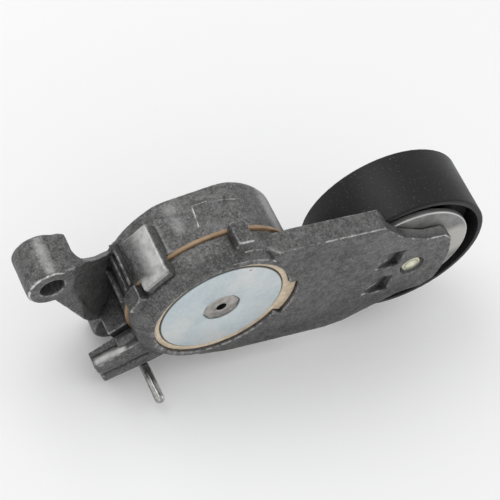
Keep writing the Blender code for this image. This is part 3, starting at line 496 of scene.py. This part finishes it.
def cast_skin(piece, marks, polish_and_highlight, soften=()):
    """Turns a sharp solid into a casting: soft edges, a slightly uneven skin, ridges made bright as
    abrasion with a painted highlight, and painted shade in creases.

    Each of marks is a line, a half width, a height and a tone: a raised or sunk line, made brighter
    (abrasion with a painted highlight) or darker (painted shade where it is sunk).
    Each of the highlight areas is (line, radius, strength, facing): a painted highlight on faces
    turned that way, over real polishing on some of them.
    Each of soften is (line, radius): a stretch where the skin flows without a crease.
    """
    limits = coordinates(piece.data)
    remesh = piece.modifiers.new("skin", "REMESH")
    remesh.mode = "VOXEL"
    remesh.voxel_size = VOXEL * MM
    remesh.adaptivity = 0.0
    mesh = evaluated(piece)
    points = coordinates(mesh)
    rounds = round(FINE_ROUNDS * (FINE_VOXEL / VOXEL) ** 2)
    soft = smoothed(mesh, points, rounds)
    set_coordinates(mesh, soft)
    wide = smoothed(mesh, soft, 5 * rounds)
    facing = normals(mesh).copy()
    ridge = ((soft - wide) * facing).sum(1)
    # Ridges get brighter (abrasion with a painted highlight) and creases darker (painted shade).
    edge = RIDGE_WEAR_AND_HIGHLIGHT * (ridge / (FULL_RIDGE * MM)).clip(0, 1)
    crease_shade_and_dark_marks = (-ridge / (FULL_HOLLOW * MM)).clip(0, 1)
    for line, radius in soften:
        share = (1.6 * (1 - away_from(soft, line) / (radius * MM))).clip(0, 1)[:, None]
        soft = soft + share * (wide - soft)
    raised = np.zeros(len(soft))
    for line, width, height, mark_tone in marks:
        share = np.exp(-((away_from(soft, line) / (width * MM)) ** 2))
        raised += height * MM * share
        edge = np.maximum(edge, mark_tone * share)
        crease_shade_and_dark_marks = np.maximum(crease_shade_and_dark_marks, -mark_tone * share)
    # Painted highlights, only on faces turned towards the given direction.
    rubbed = np.zeros(len(soft))
    for line, radius, strength, direction in polish_and_highlight:
        share = (1.4 * (1 - away_from(soft, line) / (radius * MM))).clip(0, 1)
        share = share * ((facing @ np.array(direction) - 0.6) / 0.3).clip(0, 1)
        rubbed = np.maximum(rubbed, strength * share)
    store(mesh, "edge", edge)
    store(mesh, "crease_shade_and_dark_marks", crease_shade_and_dark_marks)
    store(mesh, "polish_and_highlight", rubbed)
    uneven = sum(height * value_noise(soft, size * MM, seed) for height, size, seed in UNEVEN)
    raised += uneven * MM * (1 - 0.7 * rubbed)
    skin = soft + facing * raised[:, None]
    set_coordinates(mesh, skin.clip(limits.min(axis=0), limits.max(axis=0)))
    mesh.shade_smooth()


def copy_of(node, name):
    """A copy of a node's mesh with its split corners joined up again."""
    mesh = NODES[node].data.copy()
    shape = bmesh.new()
    shape.from_mesh(mesh)
    bmesh.ops.remove_doubles(shape, verts=shape.verts, dist=0.002 * MM)
    shape.to_mesh(mesh)
    shape.free()
    return link(name, mesh)


def round_copy(node, name, body, material, edge=0.12):
    """A turned piece with smooth sides and small bevels on its edges."""
    piece = copy_of(node, name)
    shape = bmesh.new()
    shape.from_mesh(piece.data)
    bmesh.ops.dissolve_limit(
        shape, angle_limit=math.radians(1.0), verts=shape.verts, edges=shape.edges
    )
    shape.to_mesh(piece.data)
    shape.free()
    bevel = piece.modifiers.new("edges", "BEVEL")
    bevel.width = edge * MM
    bevel.segments = 2
    bevel.limit_method = "ANGLE"
    bevel.angle_limit = math.radians(40)
    mesh = evaluated(piece)
    mesh.shade_smooth()
    mesh.set_sharp_from_angle(angle=math.radians(38))
    finish_with(piece, material)
    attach(piece, body)
    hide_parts(node)
    return piece


def finish_with(piece, material):
    """Gives the piece this material and no other."""
    piece.data.materials.clear()
    piece.data.materials.append(material)


# ---------------------------------------------------------------- castings

def polar(radius, degrees, centre=(0, 0)):
    """A place in the plan, given round the pivot or another centre."""
    turn = math.radians(degrees)
    return centre[0] + radius * math.cos(turn), centre[1] + radius * math.sin(turn)


def way(degrees):
    """The direction that a side face at this angle round the pivot looks in."""
    x, z = polar(1, degrees)
    return (x, 0, z)


def ring(radius, depth, start, end, centre=(0, 0)):
    """Points along an arc in the plan."""
    steps = 24
    turns = [start + (end - start) * step / steps for step in range(steps + 1)]
    return [plan(*polar(radius, degrees, centre), depth) for degrees in turns]


def path(*places):
    """A line through these places."""
    return [plan(*place) for place in places]


def on_face(depth, *places):
    """A line over a flat face, from places in the plan."""
    return [plan(x, z, depth) for x, z in places]


def web_hollow():
    """What is taken from behind the web, so that it is a leaning plate behind the ear."""
    outline = [polar(EAR_RADIUS + 0.3, degrees, EAR_CENTRE) for degrees in range(88, -76, -12)]
    outline += [polar(CUP_RADIUS + 0.5, degrees) for degrees in (208, 196, 184, 172, 163)]
    mesh = prism(outline, -BEHIND, BEHIND)
    beside_ear = 9.3
    lean = 0.35
    for vertex in mesh.vertices:
        if vertex.co.y < 0:
            x = vertex.co.x / MM
            vertex.co.y = -(beside_ear - lean * (x + 53.0)) * MM
    return mesh


def neck_hollow():
    """What is taken from above the web between the ear and the cup.

    The cut's floor climbs 1 mm for each mm of depth, and it ends just in front of the web's face.
    """
    ear_side = [(-53.2, 26.0, 17.0)]
    floor = [(-53.2, 10.0), (-52.2, 7.6), (-49.9, 4.7), (-45.9, 2.6), (-40.8, 1.4), (-34.2, 1.9)]
    cup_side = [(-33.9, 8.0, 6.0), (-36.5, 12.0, 6.7), (-38.0, 26.0, 6.0)]
    start_x, start_z, start_depth = WEB_START
    lean_x, lean_z = WEB_LEAN
    front = list(ear_side)
    for x, z in floor:
        fall = lean_x * (x - start_x) + lean_z * (z + BEHIND - start_z)
        depth = (start_depth - fall) / (1 + lean_z)
        front.append((x, z + depth + BEHIND, depth))
    front += cup_side
    rear = [place[:2] for place in ear_side + floor + cup_side]
    mesh = prism(rear, -BEHIND, BEHIND)
    for number, place in enumerate(front):
        mesh.vertices[len(rear) + number].co = plan(*place)
    shape = bmesh.new()
    shape.from_mesh(mesh)
    bmesh.ops.triangulate(shape, faces=shape.faces)
    shape.to_mesh(mesh)
    shape.free()
    return mesh


def across_block(from_aside, to_aside, from_depth, to_depth):
    """A line over the stop block's outer face, from places aside from its middle."""
    line = []
    for aside, depth in ((from_aside, from_depth), (to_aside, to_depth)):
        middle = polar(BLOCK_REACH, BLOCK_ANGLE)
        line.append(plan(*polar(aside, BLOCK_ANGLE + 90, middle), depth))
    return line


def up_wall(radius, degrees, foot, top, centre=(0, 0)):
    """A line up a round wall, from one depth to another."""
    x, z = polar(radius, degrees, centre)
    return path((x, z, foot), (x, z, top))


def add_casting(piece, node, body, material):
    """Puts a casting in the place of its CAD node."""
    finish_with(piece, cast_aluminium(material))
    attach(piece, body)
    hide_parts(node)


def build_housing():
    piece = copy_of("base_housing", "housing_casting")
    cut(piece, web_hollow())
    cut(piece, neck_hollow())
    # Lines on the cup: the bright ones are edges brightened by abrasion with a painted highlight, the
    # dark sunk ones carry painted shade.
    cup_marks = [
        (path((-7.4, 27.4, 5.8), (-8.4, 27.2, 14.7)), 0.35, 0.15, 1.1),
        (path((-7.4, 27.4, 5.8), (-1.7, 28.8, 5.7)), 0.30, 0.15, 0.9),
        (path((-6.9, 27.5, 4.9), (-1.2, 28.9, 4.8)), 0.35, -0.12, -0.6),
        (path((-0.4, 29.1, 6.5), (3.5, 29.9, 7.2), (9.0, 31.2, 9.1)), 0.35, 0.12, 0.8),
        (path((-22.6, 23.9, 5.0), (-16.6, 25.3, 6.4), (-11.5, 26.5, 7.2)), 0.5, -0.12, -0.5),
        (path((-22.4, 23.9, 6.2), (-16.4, 25.3, 7.6)), 0.5, 0.1, 0.35),
    ]
    # Bright rings round the ear's rim and its hole: abrasion with a painted highlight.
    ear_marks = [
        (ring(EAR_RADIUS - 0.6, EAR_FACE - 0.2, 70, 225, EAR_CENTRE), 0.55, 0.03, 1.4),
        (ring(5.0, EAR_FACE, 100, 330, EAR_CENTRE), 0.35, 0.0, 0.8),
    ]
    # The stop block's polished outer face, made bright as a painted highlight on faces turned its way
    # and to the front.
    block_polish_and_highlight = [
        (across_block(-4.6, -4.2, 11.0, 28.5), 7.5, 0.82, way(BLOCK_ANGLE)),
        (across_block(-5.0, 5.0, 28.6, 28.6), 4.0, 0.8, way(BLOCK_ANGLE)),
        (across_block(-5.0, 5.0, 29.6, 29.6), 1.6, 0.7, FORWARD),
    ]
    # Painted highlights: a streak up the ear, one up the cup's side, and two lit areas on the flat
    # panel.
    wall_highlights = [
        (up_wall(EAR_RADIUS, 102, 2.0, 16.0, EAR_CENTRE), 2.6, 0.30, way(102)),
        (up_wall(CUP_RADIUS, 47, 3.0, 20.0), 5.0, 0.30, way(47)),
        (path((-15.0, 25.7, 4.0), (-15.1, 25.7, 5.0)), 4.0, 0.22, way(103)),
        (path((-14.8, 25.7, 9.5), (-15.2, 25.7, 13.0)), 3.0, 0.18, way(103)),
    ]
    ear_to_web = [(path((-56.0, 17.0, 17.0), (-53.5, 6.5, 17.0), (-50.0, -2.0, 15.5)), 5.0)]
    cast_skin(piece, cup_marks + ear_marks, block_polish_and_highlight + wall_highlights, ear_to_web)
    add_casting(piece, "base_housing", "base", "housing_aluminium")


def beam_marks():
    """The burr along the upper edge, bright from abrasion with a painted highlight; a curved dent and
    two small sunk rings, dark with painted shade; and a broad band darker low down.
    """
    return [
        (on_face(ARM_FACE, (33.0, 30.9), (58.2, 30.9)), 0.50, 0.08, 1.7),
        (on_face(ARM_FACE, (12.0, 30.2), (33.0, 30.9)), 0.40, 0.0, 0.35),
        (on_face(ARM_FACE, (29.1, 23.8), (29.6, 26.2), (31.7, 27.8), (33.9, 28.9)), 0.30, -0.12, -0.9),
        (ring(2.6, ARM_FACE, 0, 360, (32.0, -24.2)), 0.35, -0.10, -0.35),
        (ring(2.5, ARM_FACE, 0, 360, (90.3, 10.8)), 0.35, -0.10, -0.35),
        (on_face(ARM_FACE, (14.0, -29.5), (45.0, -24.5), (80.0, -15.5)), 7.5, 0.0, -0.55),
    ]


def end_marks():
    """The edges round the arm's end, on its face and on the ledge behind it, bright from abrasion with
    a painted highlight.
    """
    tip = ((80.5, 16.9), (88.8, 16.8), (92.8, 13.4))
    return [
        (on_face(ARM_FACE, (58.2, 30.9), (68.4, 21.9), tip[0]), 0.40, 0.05, 1.0),
        (on_face(ARM_FACE, *tip), 0.45, 0.05, 1.4),
        (on_face(END_LEDGE, (70.5, 22.4), *tip), 0.45, 0.05, 1.1),
    ]


def ring_marks():
    """Lines and small ribs on the shoulder and the stop lug's edge, bright from abrasion with a
    painted highlight, and a slit by the bush's tab, dark with painted shade.
    """
    return [
        (ring(28.9, 33.8, 97, 60), 0.45, 0.15, 1.2),
        (ring(31.4, 31.2, 87, 70), 0.60, 0.10, 1.0),
        (path((-0.4, 31.2, 31.6), (0.6, 28.2, 33.8)), 0.40, 0.25, 0.6),
        (path((1.6, 31.2, 31.6), (2.3, 28.2, 33.8)), 0.40, 0.25, 0.6),
        (on_face(ARM_FACE, (24.0, -10.6), (26.4, -11.0)), 0.50, -0.40, -1.0),
        (on_face(31.0, (-2.2, 37.0), (4.1, 37.0)), 0.70, 0.0, 1.6),
    ]


def pocket_marks():
    """The ramp edges of the two pockets, bright from abrasion with a painted highlight."""
    return [
        (on_face(ARM_FACE, (62.6, 3.0), (69.2, 2.9)), 0.50, 0.12, 1.6),
        (path((63.2, 6.4, 33.9), (68.0, 6.1, 32.6)), 0.50, 0.15, 1.3),
        (on_face(ARM_FACE, (62.6, -12.9), (69.2, -12.9)), 0.50, 0.12, 1.6),
        (path((63.2, -9.4, 33.9), (68.2, -9.6, 32.6)), 0.50, 0.15, 1.3),
    ]


def lug_marks():
    """The parting line and valley along the spanner lug, sunk and dark with painted shade, and its
    arris and ridge, bright from abrasion with a painted highlight.
    """
    return [
        (path((-42.8, -28.2, 25.4), (-33.2, -20.5, 26.3)), 0.32, -0.25, -1.2),
        (on_face(LUG_FACE, (-42.1, -28.0), (-33.8, -25.2), (-24.5, -22.9)), 0.45, 0.12, 0.55),
        (on_face(LUG_FACE, (-36.5, -33.4), (-29.5, -30.2), (-22.7, -26.0)), 1.0, -0.55, -0.7),
        (on_face(LUG_FACE, (-35.6, -37.0), (-25.2, -33.0)), 0.7, 0.15, 0.35),
    ]


def build_arm():
    piece = copy_of("tension_arm", "arm_casting")
    marks = beam_marks() + end_marks() + ring_marks() + pocket_marks() + lug_marks()
    lug_strip = path((-41.3, -27.0, 28.0), (-36.5, -23.2, 28.6), (-33.0, -20.4, 29.2))
    end_wall = on_face(28.0, (74.0, 20.0), (80.5, 16.9), (88.8, 16.8))
    # Painted highlights: the polished strip on the lug, a faint one on the face, and light on the end
    # wall that faces up.
    polish_and_highlight = [
        (lug_strip, 1.8, 1.0, LUG_SIDE),
        (on_face(ARM_FACE, (60.0, 22.0), (70.0, 14.0)), 9.0, 0.06, FORWARD),
        (end_wall, 6.0, 0.40, UPWARD),
    ]
    cast_skin(piece, marks, polish_and_highlight)
    add_casting(piece, "tension_arm", "arm", "arm_aluminium")


def spread(piece, depths, radii, by):
    """Moves the points of a turned piece outwards, within a span of depths and of radii."""
    points = coordinates(piece.data)
    radius = np.hypot(points[:, 0], points[:, 2])
    depth = -points[:, 1] / MM
    chosen = (depth > depths[0]) & (depth < depths[1])
    chosen &= (radius > radii[0] * MM) & (radius < radii[1] * MM)
    grown = 1 + chosen * by * MM / radius.clip(0.1 * MM)
    points[:, 0] *= grown
    points[:, 2] *= grown
    set_coordinates(piece.data, points)


def darken_hole(piece, radius, material):
    """Gives the walls of a central hole a second, darker material."""
    piece.data.materials.append(material)
    for face in piece.data.polygons:
        reach = max(
            math.hypot(piece.data.vertices[i].co.x, piece.data.vertices[i].co.z)
            for i in face.vertices
        )
        if reach < radius * MM:
            face.material_index = 1


# ---------------------------------------------------------------- stage

def place_camera():
    """The camera where the photograph was taken from."""
    data = bpy.data.cameras.new("camera")
    data.lens = CAMERA_LENS
    data.sensor_width = 36.0
    data.clip_start = 0.01
    data.clip_end = 20.0
    camera = bpy.data.objects.new("camera", data)
    bpy.context.scene.collection.objects.link(camera)
    axes = Matrix((CAMERA_RIGHT, CAMERA_UP, CAMERA_BACK)).transposed()
    camera.matrix_world = Matrix.Translation(CAMERA_PLACE) @ axes.to_4x4()
    bpy.context.scene.camera = camera
    bpy.context.scene.view_settings.view_transform = "Standard"


def area_light(name, place, aim, size, power):
    """A rectangular light at a place in metres, turned to its aim."""
    data = bpy.data.lights.new(name, "AREA")
    data.shape = "RECTANGLE"
    data.size, data.size_y = size
    data.energy = power
    light = bpy.data.objects.new(name, data)
    bpy.context.scene.collection.objects.link(light)
    light.location = place
    light.rotation_euler = (Vector(aim) - Vector(place)).to_track_quat("-Z", "Y").to_euler()


def build_floor():
    """A plain pale floor under the part."""
    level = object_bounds()[0][2]
    side = 6.0
    corners = [(-side, -side), (side, -side), (side, side), (-side, side)]
    mesh = bpy.data.meshes.new("floor")
    mesh.from_pydata([(x, y, level) for x, y in corners], [], [(0, 1, 2, 3)])
    floor = link("floor", mesh)
    glow = {"Emission_Strength": 0.07, "Emission_Color": (1.0, 1.0, 1.0, 1.0)}
    s = Shader("floor_paper", roughness=0.9, **glow)
    cloud = s.span(s.noise(3.0, 3, 0.5), 0.3, 0.7)
    finish_with(floor, s.out(Base_Color=s.mix(cloud, (0.875, 0.875, 0.878), (0.89, 0.89, 0.893))))


def build_lights():
    world = bpy.data.worlds.new("world")
    bpy.context.scene.world = world
    world.use_nodes = True
    background = world.node_tree.nodes["Background"]
    background.inputs["Color"].default_value = (1, 1, 1, 1)
    background.inputs["Strength"].default_value = 0.76
    middle = (0.02, -0.02, 0.0)
    area_light("key", (-0.25, 0.35, 0.75), middle, (0.6, 0.5), 2.0)
    area_light("side", (0.75, -0.15, 0.45), middle, (0.35, 0.5), 0.6)
    area_light("front", (-0.35, -0.75, 0.25), middle, (0.5, 0.4), 0.3)


# ---------------------------------------------------------------- turned pieces

def build_pivot_pieces(beige):
    """The shaft, disc, washer and bushes round the pivot."""
    shaft = metal("shaft_steel", (0.25, 0.235, 0.22), (0.56, 0.53, 0.50), (0.4, 0.55), 420)
    # The washer gets a darker copy of the bearing polymer: partly dirt and partly painted shade.
    dirty_shaded_beige = beige_polymer("dirty_shaded_beige_polymer", (0.68, 0.55, 0.44))
    round_copy("cover_disc", "disc", "base", zinc_plate("zinc_plate"), 0.15)
    round_copy("friction_washer", "washer", "base", dirty_shaded_beige, 0.2)
    pivot = round_copy("pivot_shaft", "shaft", "base", shaft, 0.08)
    darken_hole(pivot, 2.25, black_plastic("shaft_hole_shadow"))
    bush = round_copy("front_bush", "flanged_bush", "arm", beige, 0.2)
    spread(bush, (31.6, ARM_FACE - 0.2), (25.9, 26.3), 0.24)
    round_copy("rear_bush", "plain_bush", "arm", beige)


def build_pulley_pieces(beige):
    """The pulley, its axle and shield, and the bearing between them."""
    steel = metal("bearing_steel", (0.42, 0.42, 0.43), (0.62, 0.62, 0.63), (0.18, 0.3))
    shield = shield_sheet("shield_sheet")
    plastic = black_plastic("pulley_plastic")
    rubber = black_plastic("seal_rubber")
    round_copy("dust_shield", "shield", "arm", shield, 0.25)
    round_copy("pulley_axle", "axle", "arm", yellow_plate("yellow_zinc"), 0.25)
    round_copy("axle_spacer", "spacer", "arm", steel)
    round_copy("bearing_inner_ring", "inner_ring", "arm", steel)
    round_copy("bearing_outer_ring", "outer_ring", "pulley", steel)
    round_copy("bearing_seal_front", "front_seal", "pulley", rubber)
    round_copy("bearing_seal_rear", "rear_seal", "pulley", rubber)
    round_copy("pulley_rim", "pulley_body", "pulley", plastic, 0.35)
    round_copy("bearing_cage", "cage", "ball_set", beige)
    for number in range(1, 9):
        finish_with(NODES[f"bearing_ball_{number}"], steel)


def build_locking_pin():
    steel = metal(
        "pin_steel", (0.07, 0.068, 0.065), (0.72, 0.71, 0.70), (0.14, 0.28), 420, streaks=(3, 0.12, 3)
    )
    round_copy("locking_pin", "pin", "lock_pin", steel)


def build_spring_and_damper(beige):
    steel = metal("spring_steel", (0.05, 0.05, 0.055), (0.12, 0.12, 0.13), (0.35, 0.5))
    round_copy("torsion_spring", "coil", "base", steel)
    round_copy("damper_sleeve", "damper", "base", beige)


def main():
    build_housing()
    build_arm()
    beige = beige_polymer("beige_polymer", (1.35, 1.35, 1.35))
    build_pivot_pieces(beige)
    build_pulley_pieces(beige)
    build_locking_pin()
    build_spring_and_damper(beige)
    build_floor()
    build_lights()
    place_camera()


main()
